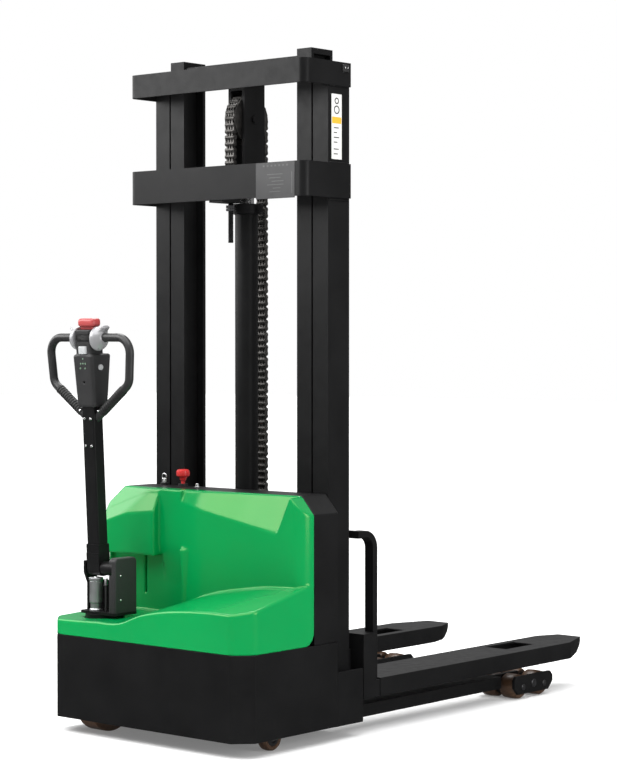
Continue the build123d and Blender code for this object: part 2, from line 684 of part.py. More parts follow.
def make_fork(side):
    """Fork: channel open below, closed and rounded at the tip, slotted for the wheels."""
    width = FORK_OUT - FORK_IN
    taper = [(-width / 2, FORK_HEEL), (width / 2, FORK_HEEL), (width / 2, 1640),
             (36, FORK_TIP), (-width / 2 + 34, FORK_TIP), (-width / 2, 1700)]
    plan = [(side * (x + FORK_MID), y) for x, y in taper]
    body = prism_z(plan, (FORK_LOW, FORK_TOP))
    nose = [(FORK_HEEL, FORK_TOP), (FORK_HEEL, FORK_LOW), (1655, FORK_LOW), (1730, 113),
            (1768, 130), (FORK_TIP, 146), (FORK_TIP, FORK_TOP)]
    body = body & prism_x(nose, (side * FORK_MID - 100, side * FORK_MID + 100))
    channel = [(x + FORK_MID) * side for x in (-width / 2 + FORK_PLATE, width / 2 - FORK_PLATE)]
    body -= block(sorted(channel), (FORK_HEEL - 1, 1640), (FORK_LOW - 5, FORK_TOP - FORK_PLATE))
    body -= block(across(side, GUARD_X - GUARD_WIDTH / 2, FORK_OUT + 1),
                  (FORK_HEEL - 1, GUARD_Y + GUARD_THICK / 2), (FORK_LOW - 1, FORK_TOP + 1))
    return body - block(across(side, *SLOT[:2]), SLOT[2:], (FORK_TOP - 20, FORK_TOP + 1))


def make_guard(side):
    """Load guard: flat bar from the carriage's top bar, bent down to the fork's heel."""
    half = GUARD_THICK / 2
    x = across(side, GUARD_X - GUARD_WIDTH / 2, GUARD_X + GUARD_WIDTH / 2)
    outer_top = 580 + 11 + half
    bar = block(x, (CARRIAGE_REAR, GUARD_Y + half), (outer_top - GUARD_THICK, outer_top))
    bar += block(x, (GUARD_Y - half, GUARD_Y + half), (FORK_LOW, outer_top))
    inside = (GUARD_Y - half, outer_top - GUARD_THICK)
    outside = (GUARD_Y + half, outer_top)
    bar += block(x, (inside[0] - 34, inside[0]), (inside[1] - 34, inside[1]))
    bar -= rod_x(34, (x[0] - 1, x[1] + 1), inside[0] - 34, inside[1] - 34)
    return rounded(bar, Axis.X, 34 + GUARD_THICK, [outside])


def save_chassis():
    save("base_frame", make_base_frame())
    save("bumper_skirt", make_skirt())
    save("hood", make_hood())
    save("rear_cover", make_rear_cover())
    for name, side in (("left", -1), ("right", 1)):
        save(f"outer_rail_{name}", make_outer_rail(side))
        save(f"support_leg_{name}", make_leg(side))
    save("upper_crossbeam", make_crossbeam(UPPER_BEAM, False))
    save("lower_crossbeam", make_crossbeam(LOWER_BEAM, True))
    save("cylinder_barrel", make_barrel())
    save("cylinder_gland", make_gland())
    save("chain_anchor_bolt", make_chain_anchor())
    save("battery", make_battery())
    save("pump_unit", make_pump_unit())
    save("motor_controller", make_controller())
    save("switch_collars", *make_switch_collars())
    save("estop_button", make_estop_button())
    save("key", make_key())


def save_steering():
    save("gearbox", make_gearbox())
    save("drive_motor", make_drive_motor())
    save("drive_wheel", make_drive_hub(), make_drive_tyre())
    save("swivel_yoke", make_yoke())
    save("pivot_housing", make_pivot_housing())
    save("pivot_shaft", make_pivot_shaft())
    save("return_spring", make_return_spring())
    save("return_plunger", make_plunger())
    save("tiller_arm", make_arm())
    save("tiller_head", make_head())
    save("handle_loop", make_loop())
    save("throttle", *make_throttle())
    save("belly_switch", make_belly_switch())
    save("horn_button", lean(horn_body(0, 0)))
    save("raise_button", lean(side_button(1, 0, 0)))
    save("lower_button", lean(side_button(-1, 0, 0)))


def save_wheels():
    save("caster_fork", make_caster_fork())
    save("caster_wheel", make_caster_wheel())
    for name, side in (("left", -1), ("right", 1)):
        save(f"bogie_{name}", make_bogie(side))
        for place, offset in (("front", LOAD_WHEEL_OFFSET), ("rear", -LOAD_WHEEL_OFFSET)):
            save(f"load_wheel_{name}_{place}", *make_load_wheel(side, offset))


def save_mast():
    for name, side in (("left", -1), ("right", 1)):
        save(f"inner_rail_{name}", make_inner_rail(side))
    save("inner_top_bracket", make_top_bracket())
    save("inner_bottom_crossmember", make_bottom_crossmember())
    save("piston_rod", make_piston_rod())
    save("chain_sheave", make_sheave())
    save("mast_rollers_upper", *make_rollers((267, 287.5), UPPER_ROLLER_Z))
    save("mast_rollers_lower", *make_rollers((299, 321), LOWER_ROLLER_Z))
    front_y = SHEAVE_Y - CHAIN_PITCH_RADIUS
    rear_y = SHEAVE_Y + CHAIN_PITCH_RADIUS
    save("chain_front_strand", make_chain_strand(front_y, (1640, SHEAVE_Z)))
    save("chain_rear_strand", make_chain_strand(rear_y, (345, SHEAVE_Z)))


def save_carriage():
    save("carriage_frame", make_carriage_frame())
    for name, side in (("left", -1), ("right", 1)):
        save(f"fork_{name}", make_fork(side))
        save(f"load_guard_{name}", make_guard(side))
    save("carriage_rollers_upper", *make_rollers((233.5, 254.5), CARRIAGE_ROLLERS_Z[1]))
    save("carriage_rollers_lower", *make_rollers((233.5, 254.5), CARRIAGE_ROLLERS_Z[0]))


os.makedirs("parts", exist_ok=True)
FOOTPRINT_LEFT = make_loop().bounding_box().min.X
TO_ORIGIN = Pos(-(FOOTPRINT_LEFT + HALF) / 2, -FORK_TIP / 2, 0)
print("origin in truck axes", (FOOTPRINT_LEFT + HALF) / 2, FORK_TIP / 2)
save_chassis()
save_steering()
save_wheels()
save_mast()
save_carriage()
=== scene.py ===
"""Looks for a walkie stacker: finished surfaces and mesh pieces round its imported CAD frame.

Lengths in this script are millimetres in the truck's own axes, as in the part's source:
X = 0 on the centreline, Y = 0 at the front of the bumper, Z = 0 on the floor.
at() turns them into metres in the row frame, where every Blender object lives.
"""
import bmesh
import bpy
import json
import math
import numpy as np
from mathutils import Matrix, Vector


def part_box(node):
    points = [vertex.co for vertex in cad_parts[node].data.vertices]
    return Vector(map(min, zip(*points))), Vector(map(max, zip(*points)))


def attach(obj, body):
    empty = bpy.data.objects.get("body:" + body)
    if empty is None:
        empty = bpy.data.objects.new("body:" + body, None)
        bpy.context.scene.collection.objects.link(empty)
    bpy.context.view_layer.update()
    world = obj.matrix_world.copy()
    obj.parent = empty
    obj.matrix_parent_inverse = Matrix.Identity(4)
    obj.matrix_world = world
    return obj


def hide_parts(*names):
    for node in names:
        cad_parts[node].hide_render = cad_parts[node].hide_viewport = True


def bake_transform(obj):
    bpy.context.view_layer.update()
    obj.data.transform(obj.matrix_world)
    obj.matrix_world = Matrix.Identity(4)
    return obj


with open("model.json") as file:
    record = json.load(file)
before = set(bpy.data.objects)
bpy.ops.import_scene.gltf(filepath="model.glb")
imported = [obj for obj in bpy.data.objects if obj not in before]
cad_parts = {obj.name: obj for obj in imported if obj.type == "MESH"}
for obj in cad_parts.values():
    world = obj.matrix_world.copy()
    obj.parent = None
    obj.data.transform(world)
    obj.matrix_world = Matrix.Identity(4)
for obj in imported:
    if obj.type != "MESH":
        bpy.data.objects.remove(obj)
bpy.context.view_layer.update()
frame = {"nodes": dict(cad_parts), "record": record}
NODES = frame["nodes"]
SKIRT_LOW, SKIRT_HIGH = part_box("bumper_skirt")
ORIGIN = Vector(((SKIRT_LOW.x + SKIRT_HIGH.x) / 2, SKIRT_LOW.y, 0))
MM = 0.001


def at(x, y, z):
    """A point in truck millimetres as a point in the row frame."""
    return ORIGIN + Vector((x, y, z)) * MM


def span(node):
    """Lowest and highest corner of a CAD node in truck millimetres."""
    low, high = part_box(node)
    return np.array(low - ORIGIN) / MM, np.array(high - ORIGIN) / MM


def middle(node):
    low, high = span(node)
    return (low + high) / 2


SHAFT = middle("pivot_shaft")
PIVOT = (middle("tiller_arm")[0], SHAFT[1], SHAFT[2])
ARM_LEAN = math.radians(3)


# ---- camera ----------------------------------------------------------------------------
def make_camera():
    data = bpy.data.cameras.new("camera")
    data.lens = 102.67
    data.sensor_width = 36.0
    data.clip_start = 0.1
    data.clip_end = 100.0
    camera = bpy.data.objects.new("camera", data)
    camera.location = at(4457.6, -4453.1, 1167.75)
    camera.rotation_euler = (math.radians(90 - 1.16), 0, math.radians(40.63))
    bpy.context.scene.collection.objects.link(camera)
    bpy.context.scene.camera = camera


# ---- materials -------------------------------------------------------------------------
def shader(name):
    """A new material, its node tree and its Principled node."""
    made = bpy.data.materials.new(name)
    made.use_nodes = True
    tree = made.node_tree
    return made, tree, tree.nodes["Principled BSDF"]


def noise(tree, scale, detail=4.0, stretch=(1, 1, 1)):
    """Noise factor over the object's own coordinates, drawn out along an axis if stretched."""
    place = tree.nodes.new("ShaderNodeTexCoord")
    mapping = tree.nodes.new("ShaderNodeMapping")
    mapping.inputs["Scale"].default_value = stretch
    texture = tree.nodes.new("ShaderNodeTexNoise")
    texture.inputs["Scale"].default_value = scale
    texture.inputs["Detail"].default_value = detail
    tree.links.new(place.outputs["Object"], mapping.inputs["Vector"])
    tree.links.new(mapping.outputs["Vector"], texture.inputs["Vector"])
    return texture.outputs["Fac"]


def ramp(tree, factor, low, high, colours):
    """Colour ramp between two positions."""
    node = tree.nodes.new("ShaderNodeValToRGB")
    node.color_ramp.elements[0].position = low
    node.color_ramp.elements[1].position = high
    for element, colour in zip(node.color_ramp.elements, colours):
        element.color = (*colour, 1)
    tree.links.new(factor, node.inputs["Fac"])
    return node.outputs["Color"]


def vary(tree, factor, socket, low, high):
    """Drive a number socket from a factor, between low and high."""
    node = tree.nodes.new("ShaderNodeMapRange")
    node.inputs["From Min"].default_value = 0.3
    node.inputs["From Max"].default_value = 0.7
    node.inputs["To Min"].default_value = low
    node.inputs["To Max"].default_value = high
    tree.links.new(factor, node.inputs["Value"])
    tree.links.new(node.outputs["Result"], socket)


def bump(tree, principled, factor, strength, distance):
    node = tree.nodes.new("ShaderNodeBump")
    node.inputs["Strength"].default_value = strength
    node.inputs["Distance"].default_value = distance
    tree.links.new(factor, node.inputs["Height"])
    tree.links.new(node.outputs["Normal"], principled.inputs["Normal"])


def finish_of(name, dark, light, rough, metal=0.0, coat=0.0, coat_rough=0.05, grain=900.0,
              grain_depth=0.00006, patch=7.0, specular=0.5, tint=(1, 1, 1), stretch=(1, 1, 1)):
    """Surface with slow colour patches, uneven gloss and a fine grain."""
    made, tree, principled = shader(name)
    principled.inputs["Metallic"].default_value = metal
    principled.inputs["Coat Weight"].default_value = coat
    principled.inputs["Coat Roughness"].default_value = coat_rough
    principled.inputs["Specular IOR Level"].default_value = specular
    principled.inputs["Specular Tint"].default_value = (*tint, 1)
    slow = noise(tree, patch)
    tree.links.new(ramp(tree, slow, 0.35, 0.65, (dark, light)), principled.inputs["Base Color"])
    vary(tree, noise(tree, patch * 6, 6.0, stretch), principled.inputs["Roughness"], *rough)
    bump(tree, principled, noise(tree, grain, 2.0, stretch), 0.35, grain_depth)
    return made


def make_materials():
    """Every finish by the name of its slot in the record."""
    made = {
        "painted_black": finish_of("painted_black", (0.0052, 0.0052, 0.0055),
                                   (0.0075, 0.0075, 0.0078), (0.36, 0.46), grain=1400,
                                   grain_depth=0.0001, specular=0.2),
        "hood_green": finish_of("hood_green", (0.0, 0.245, 0.060), (0.0, 0.263, 0.064),
                                (0.16, 0.22), coat=0.0, grain=260, grain_depth=0.00001,
                                patch=3.0, specular=0.5, tint=(0.85, 1.0, 0.42)),
        "red_plastic": finish_of("red_plastic", (0.62, 0.022, 0.022), (0.70, 0.03, 0.03),
                                 (0.26, 0.36), coat=0.4, coat_rough=0.08),
        "grey_plastic": finish_of("grey_plastic", (0.36, 0.37, 0.375), (0.42, 0.43, 0.435),
                                  (0.28, 0.38), coat=0.3, coat_rough=0.15),
        "black_plastic": finish_of("black_plastic", (0.021, 0.021, 0.0215), (0.027, 0.027, 0.0275),
                                   (0.42, 0.52), grain=2200, grain_depth=0.00012,
                                   specular=0.3),
        "handle_black": finish_of("handle_black", (0.017, 0.017, 0.0175), (0.023, 0.023, 0.0235),
                                  (0.34, 0.46), grain=1600, grain_depth=0.00008),
        "bare_aluminium": finish_of("bare_aluminium", (0.55, 0.56, 0.57), (0.62, 0.63, 0.64),
                                    (0.35, 0.5), metal=1.0),
        "bright_steel": finish_of("bright_steel", (0.70, 0.70, 0.70), (0.80, 0.80, 0.80),
                                  (0.16, 0.3), metal=1.0, grain=700, grain_depth=0.00003,
                                  stretch=(1, 1, 12)),
        "chain_steel": finish_of("chain_steel", (0.055, 0.053, 0.05), (0.11, 0.105, 0.10),
                                 (0.3, 0.5), metal=0.85, patch=40),
        "wheel_polyurethane": finish_of("wheel_polyurethane", (0.060, 0.030, 0.016),
                                        (0.095, 0.050, 0.026), (0.35, 0.5), patch=14,
                                        grain_depth=0.00015),
        "belly_red": finish_of("belly_red", (0.36, 0.045, 0.045), (0.42, 0.055, 0.055),
                               (0.34, 0.44), coat=0.2, coat_rough=0.2),
        "rubber": finish_of("rubber", (0.012, 0.012, 0.012), (0.018, 0.018, 0.018), (0.5, 0.62),
                            grain=1800, grain_depth=0.0001, specular=0.35),
        "silver_plastic": finish_of("silver_plastic", (0.30, 0.30, 0.31), (0.36, 0.36, 0.37),
                                    (0.26, 0.34), metal=0.35, coat=0.3, coat_rough=0.12),
        "lamp": finish_of("lamp", (0.10, 0.17, 0.11), (0.16, 0.24, 0.17), (0.25, 0.35), coat=0.4),
        "dark_steel": finish_of("dark_steel", (0.045, 0.045, 0.047), (0.075, 0.075, 0.078),
                                (0.32, 0.45), metal=0.8, patch=30),
        "sticker_white": finish_of("sticker_white", (0.70, 0.70, 0.68), (0.76, 0.76, 0.74),
                                   (0.4, 0.5)),
        "sticker_yellow": finish_of("sticker_yellow", (0.72, 0.40, 0.02), (0.78, 0.44, 0.03),
                                    (0.4, 0.5)),
        "sticker_ink": finish_of("sticker_ink", (0.02, 0.02, 0.02), (0.03, 0.03, 0.03), (0.5, 0.6)),
        "plate_grey": finish_of("plate_grey", (0.018, 0.018, 0.019), (0.030, 0.030, 0.031),
                                (0.3, 0.42), grain=700, grain_depth=0.00008),
        "plate_mark": finish_of("plate_mark", (0.055, 0.055, 0.055), (0.08, 0.08, 0.08), (0.4, 0.5)),
        "cast_housing": finish_of("cast_housing", (0.05, 0.05, 0.052), (0.075, 0.075, 0.078),
                                  (0.5, 0.65), grain=500, grain_depth=0.0003),
    }
    return made


# ---- mesh helpers ----------------------------------------------------------------------
def mesh_piece(name, points, faces, material, slot, sharp=38):
    """New mesh object from truck millimetres, smooth except over sharp edges."""
    mesh = bpy.data.meshes.new(name)
    mesh.from_pydata([tuple(at(*p)) for p in points], [], [tuple(f) for f in faces])
    mesh.validate()
    work = bmesh.new()
    work.from_mesh(mesh)
    bmesh.ops.recalc_face_normals(work, faces=work.faces)
    for face in work.faces:
        face.smooth = True
    for edge in work.edges:
        if len(edge.link_faces) == 2 and edge.calc_face_angle(0) > math.radians(sharp):
            edge.smooth = False
    work.to_mesh(mesh)
    work.free()
    piece = bpy.data.objects.new(name, mesh)
    bpy.context.scene.collection.objects.link(piece)
    piece.data.materials.append(material)
    return piece


def blend_max(a, b, radius):
    """Intersection of two solids given as distances, with the edge rounded to a radius."""
    inside = np.minimum(np.maximum(a, b), -radius)
    return inside + np.hypot(np.maximum(a + radius, 0), np.maximum(b + radius, 0))


def blend_min(a, b, radius):
    """Union of two solids given as distances, with a fillet in the inner corner."""
    return -blend_max(-a, -b, radius)


def slab(u, low, high):
    return np.maximum(low - u, u - high)


def plane(p, a, b, c, below):
    """Distance to the plane through three points, negative on the side of the point below."""
    a, b, c, below = (np.array(v, float) for v in (a, b, c, below))
    normal = np.cross(b - a, c - a)
    normal /= np.linalg.norm(normal)
    if (below - a) @ normal > 0:
        normal = -normal
    return (p[0] - a[0]) * normal[0] + (p[1] - a[1]) * normal[1] + (p[2] - a[2]) * normal[2]


def curve(u, points):
    """Smooth curve through (u, value) points."""
    xs = np.array([p[0] for p in points], float)
    ys = np.array([p[1] for p in points], float)
    slopes = np.gradient(ys, xs)
    u = np.clip(u, xs[0], xs[-1])
    i = np.clip(np.searchsorted(xs, u) - 1, 0, len(xs) - 2)
    span = xs[i + 1] - xs[i]
    t = (u - xs[i]) / span
    return ((2 * t**3 - 3 * t**2 + 1) * ys[i] + (t**3 - 2 * t**2 + t) * span * slopes[i]
            + (3 * t**2 - 2 * t**3) * ys[i + 1] + (t**3 - t**2) * span * slopes[i + 1])


def surface_of(distance, low, high, step):
    """Points and quads of the zero surface of a distance function, inside a box."""
    axes = [np.arange(a, b + step, step) for a, b in zip(low, high)]
    grid = np.meshgrid(*axes, indexing="ij")
    values = distance(grid)
    inside = values < 0
    shape = tuple(n - 1 for n in values.shape)
    total = np.zeros((*shape, 3))
    count = np.zeros(shape)
    crossings = []
    for axis in range(3):
        first = [slice(None)] * 3
        second = [slice(None)] * 3
        first[axis] = slice(None, -1)
        second[axis] = slice(1, None)
        a, b = values[tuple(first)], values[tuple(second)]
        cross = inside[tuple(first)] != inside[tuple(second)]
        share = np.where(cross, a / np.where(cross, a - b, 1), 0)
        crossings.append(cross)
        others = [k for k in range(3) if k != axis]
        for i in (0, 1):
            for j in (0, 1):
                part = [slice(None)] * 3
                part[others[0]] = slice(i, i + shape[others[0]])
                part[others[1]] = slice(j, j + shape[others[1]])
                part = tuple(part)
                hit = cross[part]
                count += hit
                total[..., axis] += np.where(hit, share[part], 0)
                total[..., others[0]] += np.where(hit, i, 0)
                total[..., others[1]] += np.where(hit, j, 0)
    active = count > 0
    index = np.full(shape, -1)
    index[active] = np.arange(active.sum())
    cell = np.argwhere(active)
    points = (cell + total[active] / count[active][:, None]) * step + np.array(low, float)
    quads = []
    for axis in range(3):
        others = [k for k in range(3) if k != axis]
        where = np.argwhere(crossings[axis])
        inner = np.all(where[:, others] > 0, axis=1)
        inner &= np.all(where[:, others] < np.array(shape)[others], axis=1)
        where = where[inner]
        corners = []
        for i, j in ((0, 0), (-1, 0), (-1, -1), (0, -1)):
            cells = where.copy()
            cells[:, others[0]] += i
            cells[:, others[1]] += j
            corners.append(index[tuple(cells.T)])
        quads.append(np.stack(corners, 1))
    return settle(distance, points, step), np.concatenate(quads)


def settle(distance, points, step):
    """Move points along the gradient until they lie on the surface itself."""
    small = step * 0.02
    for _ in range(3):
        value = distance(points.T)
        slope = np.empty_like(points)
        for axis in range(3):
            moved = points.copy()
            moved[:, axis] += small
            slope[:, axis] = (distance(moved.T) - value) / small
        size = np.maximum((slope**2).sum(1), 0.05)
        shift = -(value / size)[:, None] * slope
        points = points + np.clip(shift, -step * 0.5, step * 0.5)
    return points


# ---- shapes: each one is (points, faces) in millimetres ----------------------------------
def joined(*shapes):
    points, faces, start = [], [], 0
    for some, more in shapes:
        points.append(np.asarray(some, float))
        faces += [tuple(int(i) + start for i in face) for face in more]
        start += len(some)
    return np.concatenate(points), faces


def moved(shape, x=0, y=0, z=0):
    return np.asarray(shape[0], float) + (x, y, z), shape[1]


def facing(points, axis):
    """Turn points made with their height along Z so that the height runs along an axis."""
    return np.asarray(points, float)[:, {"x": (2, 0, 1), "y": (1, 2, 0), "z": (0, 1, 2)}[axis]]


def lathe(profile, centre, axis="z", sides=36, flutes=0, flute_depth=0.0):
    """Turned shape: (radius, height) points spun round an axis, with flutes along it if asked."""
    points, rings, faces = [], [], []
    for radius, height in profile:
        ring = []
        for i in range(sides if radius > 0 else 1):
            angle = 2 * math.pi * i / sides
            reach = radius - flute_depth * (0.5 + 0.5 * math.cos(flutes * angle)) if flutes else radius
            ring.append(len(points))
            points.append((reach * math.cos(angle), reach * math.sin(angle), height))
        rings.append(ring)
    for low, high in zip(rings, rings[1:]):
        for i in range(sides):
            corners = (low[i % len(low)], low[(i + 1) % len(low)], high[(i + 1) % len(high)],
                       high[i % len(high)])
            corners = tuple(dict.fromkeys(corners))
            if len(corners) > 2:
                faces.append(corners)
    return facing(points, axis) + centre, faces


def pin(radius, low, high, centre, axis="z", edge=0.6, sides=28):
    """Solid round pin with its two rims broken."""
    profile = [(0, low), (radius - edge, low), (radius, low + edge), (radius, high - edge),
               (radius - edge, high), (0, high)]
    return lathe(profile, centre, axis, sides)


def hexagon(reach, first=0, shift=0):
    """Six corners round a point that is shifted along the second axis; first is in degrees."""
    angles = [math.radians(60 * i + first) for i in range(6)]
    return [(reach * math.cos(a), reach * math.sin(a) + shift) for a in angles]


def prism(outline, axis, low, high):
    """Flat outline drawn out along an axis."""
    count = len(outline)
    points = [(u, v, w) for w in (low, high) for u, v in outline]
    faces = [tuple(range(count - 1, -1, -1)), tuple(range(count, 2 * count))]
    faces += [(i, (i + 1) % count, count + (i + 1) % count, count + i) for i in range(count)]
    return facing(points, axis), faces


def rounded_box(low, high, radius, segments=3):
    work = bmesh.new()
    bmesh.ops.create_cube(work, size=1)
    low, high = np.array(low, float), np.array(high, float)
    for vertex in work.verts:
        vertex.co = Vector((low + high) / 2 + np.array(vertex.co) * (high - low))
    bmesh.ops.bevel(work, geom=work.edges[:], offset=radius, segments=segments, profile=0.5,
                    affect="EDGES")
    work.verts.index_update()
    points = np.array([vertex.co for vertex in work.verts])
    faces = [tuple(vertex.index for vertex in face.verts) for face in work.faces]
    work.free()
    return points, faces


def tube(path, radius, sides=24, across=(0, 1, 0)):
    """Tube along a path in the plane square to one direction; radius is a number or a list."""
    path = np.asarray(path, float)
    radius = np.broadcast_to(radius, len(path))
    along = np.gradient(path, axis=0)
    along /= np.linalg.norm(along, axis=1)[:, None]
    side = np.cross(along, across)
    points, faces = [], []
    for centre, out, reach in zip(path, side, radius):
        for i in range(sides):
            angle = 2 * math.pi * i / sides
            points.append(centre + reach * (math.cos(angle) * out + math.sin(angle) * np.array(across)))
    for k in range(len(path) - 1):
        for i in range(sides):
            j = (i + 1) % sides
            faces.append((k * sides + i, k * sides + j, (k + 1) * sides + j, (k + 1) * sides + i))
    faces.append(tuple(range(sides - 1, -1, -1)))
    faces.append(tuple(range((len(path) - 1) * sides, len(path) * sides)))
    return np.array(points), faces


def rounded_path(points, radii, step=3.0):
    """Evenly spaced points along straight runs joined by tangent arcs."""
    points = [np.array(p, float) for p in points]
    route = [points[0]]
    for before, corner, after, radius in zip(points, points[1:], points[2:], radii):
        back = (before - corner) / np.linalg.norm(before - corner)
        on = (after - corner) / np.linalg.norm(after - corner)
        half = math.acos(float(back @ on)) / 2
        middle_line = (back + on) / np.linalg.norm(back + on)
        centre = corner + middle_line * radius / math.sin(half)
        start = corner + back * radius / math.tan(half) - centre
        end = corner + on * radius / math.tan(half) - centre
        turn = math.pi - 2 * half
        for share in np.linspace(0, 1, max(int(radius * turn / step), 2)):
            a, b = math.sin((1 - share) * turn), math.sin(share * turn)
            route.append(centre + (a * start + b * end) / math.sin(turn))
    route.append(points[-1])
    route = np.array(route)
    length = np.concatenate(([0], np.cumsum(np.linalg.norm(np.diff(route, axis=0), axis=1))))
    even = np.arange(0, length[-1], step)
    return np.stack([np.interp(even, length, route[:, k]) for k in range(3)], 1)


def lean(shape):
    """From the tiller's own axes (pivot at zero, +Z up the arm) to the truck's."""
    x, y, z = np.asarray(shape[0], float).T
    cos, sin = math.cos(ARM_LEAN), math.sin(ARM_LEAN)
    placed = np.stack((x + PIVOT[0], y * cos - z * sin + PIVOT[1], y * sin + z * cos + PIVOT[2]), 1)
    return placed, shape[1]


def add(name, shape, finish, slot, body, replaced=(), sharp=38):
    """Make a piece, let it ride on a body and stand for the CAD nodes it replaces."""
    piece = mesh_piece(name, shape[0], shape[1], FINISHES[finish], slot, sharp)
    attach(piece, body)
    if replaced:
        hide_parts(*replaced)
    return piece


# ---- hood ------------------------------------------------------------------------------
BODY_HALF = 400
WALL_FRONT = 238
BLOCK_FRONT = 228
BLOCK_RIGHT = -173
ROOF = 719
INSIDE = (0, 300, 300)


def deck_height(x, y):
    """Height of the hood's low front part: a swept deck with a creased right corner."""
    lip = curve(x, [(-400, 336), (-270, 338), (-186, 341), (-95, 344), (-5, 374), (84, 391),
                    (170, 400), (250, 404), (400, 402)])
    back = curve(x, [(-400, 346), (-270, 347), (-150, 350), (-49, 381), (23, 411), (105, 430),
                     (175, 440), (261, 451), (400, 457)])
    share = np.clip(y / 240, 0, 1.2)
    swept = lip + (back - lip) * share
    side_facet = 468.2 - 0.262 * x + 0.41 * y
    front_facet = 411 - 0.0286 * x - 0.275 * y
    corner = blend_max(side_facet, front_facet, 1)
    return -blend_max(-swept, -corner, 4)


def ease(share):
    share = np.clip(share, 0, 1)
    return share * share * (3 - 2 * share)


def wall_relief(x, z):
    """How far the upright wall stands back (positive) or proud at a place on it."""
    sweep = curve(x, [(-400, 16), (-173, 15), (-60, 8), (20, 1), (60, 4), (170, 13), (230, 13),
                      (400, 8)])
    lowness = ease((560 - z) / 130)
    lowness = lowness + (1 - lowness) * ease((-160 - x) / 20) * ease((530 - z) / 10)
    hollow = 22 * lowness * ease((-62 - x) / 22) * ease((x + 392) / 10)
    rib_width = np.interp(z, (379, 541), (15, 33))
    rib_share = (x + 73) / rib_width
    rib = 11 * np.clip(1 - rib_share, 0, 1) * ease((x + 80) / 9) * ease((553 - z) / 14)
    return sweep + hollow - rib


def hood_wall(p):
    """Upright part of the hood, right of the block behind the tiller."""
    x, y, z = p
    relief = wall_relief(x, z)
    wall = blend_max((WALL_FRONT + relief - y) * 0.9, x - BODY_HALF, 46)
    wall = blend_max(wall, -BODY_HALF - x, 22)
    level = (x, y - relief, z)
    crease = (119, WALL_FRONT, 643)
    visor_left = plane(level, (-71, WALL_FRONT, 681), crease, (353, 283, ROOF), INSIDE)
    visor_right = plane(level, crease, (298, WALL_FRONT, 605), (353, 276, ROOF), INSIDE)
    beyond = (x - 298) * 0.894 - (z - 607) * 0.447
    before = -(x + 78) * 0.99 + (z - 680) * 0.1
    visor = np.minimum(np.maximum(visor_left, visor_right), np.minimum(-beyond, -before))
    wall = blend_max(wall, visor, 1.2)
    slot = np.maximum(slab(x, -257, -249), np.maximum(slab(z, 398, 560), slab(y, 200, 300)))
    return blend_max(wall, -slot, 2)


def hood_distance(p):
    x, y, z = p
    side = np.abs(x) - BODY_HALF
    plan = blend_max(side, -y, 2)
    plan = blend_max(plan, (side - y + 49.5) / math.sqrt(2), 10)
    deck = blend_max(plan, (z - deck_height(x, y)) * 0.93, 7)
    wall = hood_wall(p)
    ridge = (-302, BLOCK_FRONT, 639)
    facet = plane(p, ridge, (-171, BLOCK_FRONT, 682), (-250, 262, 712), INSIDE)
    outer = plane(p, (-BODY_HALF, BLOCK_FRONT, 630), ridge, (-330, 262, 716), INSIDE)
    facet = blend_max(facet, outer, 2)
    wall = np.maximum(wall, np.minimum(facet, BLOCK_RIGHT - x))
    block = blend_max(BLOCK_FRONT - y, x - BLOCK_RIGHT, 5)
    block = blend_max(block, -BODY_HALF - x, 30)
    block = blend_max(block, 518 - z, 4)
    block = blend_max(block, facet, 2)
    upper = blend_min(wall, block, 2)
    bevel = (side * 52 + (z - 667) * 47) / 70.1
    upper = blend_max(upper, bevel, 4)
    upper = blend_max(upper, z - ROOF, 5)
    whole = blend_min(upper, deck, 4)
    whole = np.maximum(whole, side)
    whole = blend_max(whole, blend_max(y - 302, 291.5 - z, 40), 0.5)
    hole = np.hypot(x + 262, y - 112) - 61
    return np.maximum(whole, -np.maximum(hole, z - 400))


def make_hood():
    """The moulded hood, meshed from its distance function."""
    step = 4.5
    points, quads = surface_of(hood_distance, (-408, -8, 284), (408, 310, 727), step)
    hood = mesh_piece("hood_shell", points, quads, FINISHES["hood_green"], "hood_green", 75)
    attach(hood, "chassis")
    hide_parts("hood")


# ---- CAD nodes -------------------------------------------------------------------------
EDGE_WIDTHS = {"bumper_skirt": 2.0, "rear_cover": 3.0, "outer_rail_left": 1.5,
               "outer_rail_right": 1.5, "inner_rail_left": 1.5, "inner_rail_right": 1.5,
               "upper_crossbeam": 1.5, "lower_crossbeam": 1.5, "fork_left": 2.0,
               "fork_right": 2.0, "pivot_housing": 1.5, "load_guard_left": 2.0,
               "load_guard_right": 2.0}


def soft_edges():
    """Node group that joins a CAD mesh's loose faces and lets light run round its edges."""
    group = bpy.data.node_groups.new("soft_edges", "GeometryNodeTree")
    group.interface.new_socket("Geometry", in_out="INPUT", socket_type="NodeSocketGeometry")
    group.interface.new_socket("Geometry", in_out="OUTPUT", socket_type="NodeSocketGeometry")
    start = group.nodes.new("NodeGroupInput")
    merge = group.nodes.new("GeometryNodeMergeByDistance")
    merge.inputs["Distance"].default_value = 0.00002
    plain = group.nodes.new("GeometryNodeRemoveAttribute")
    plain.inputs["Name"].default_value = "custom_normal"
    smooth = group.nodes.new("GeometryNodeSetShadeSmooth")
    end = group.nodes.new("NodeGroupOutput")
    group.links.new(start.outputs[0], merge.inputs["Geometry"])
    group.links.new(merge.outputs["Geometry"], plain.inputs["Geometry"])
    group.links.new(plain.outputs["Geometry"], smooth.inputs["Geometry"])
    group.links.new(smooth.outputs["Geometry"], end.inputs[0])
    return group


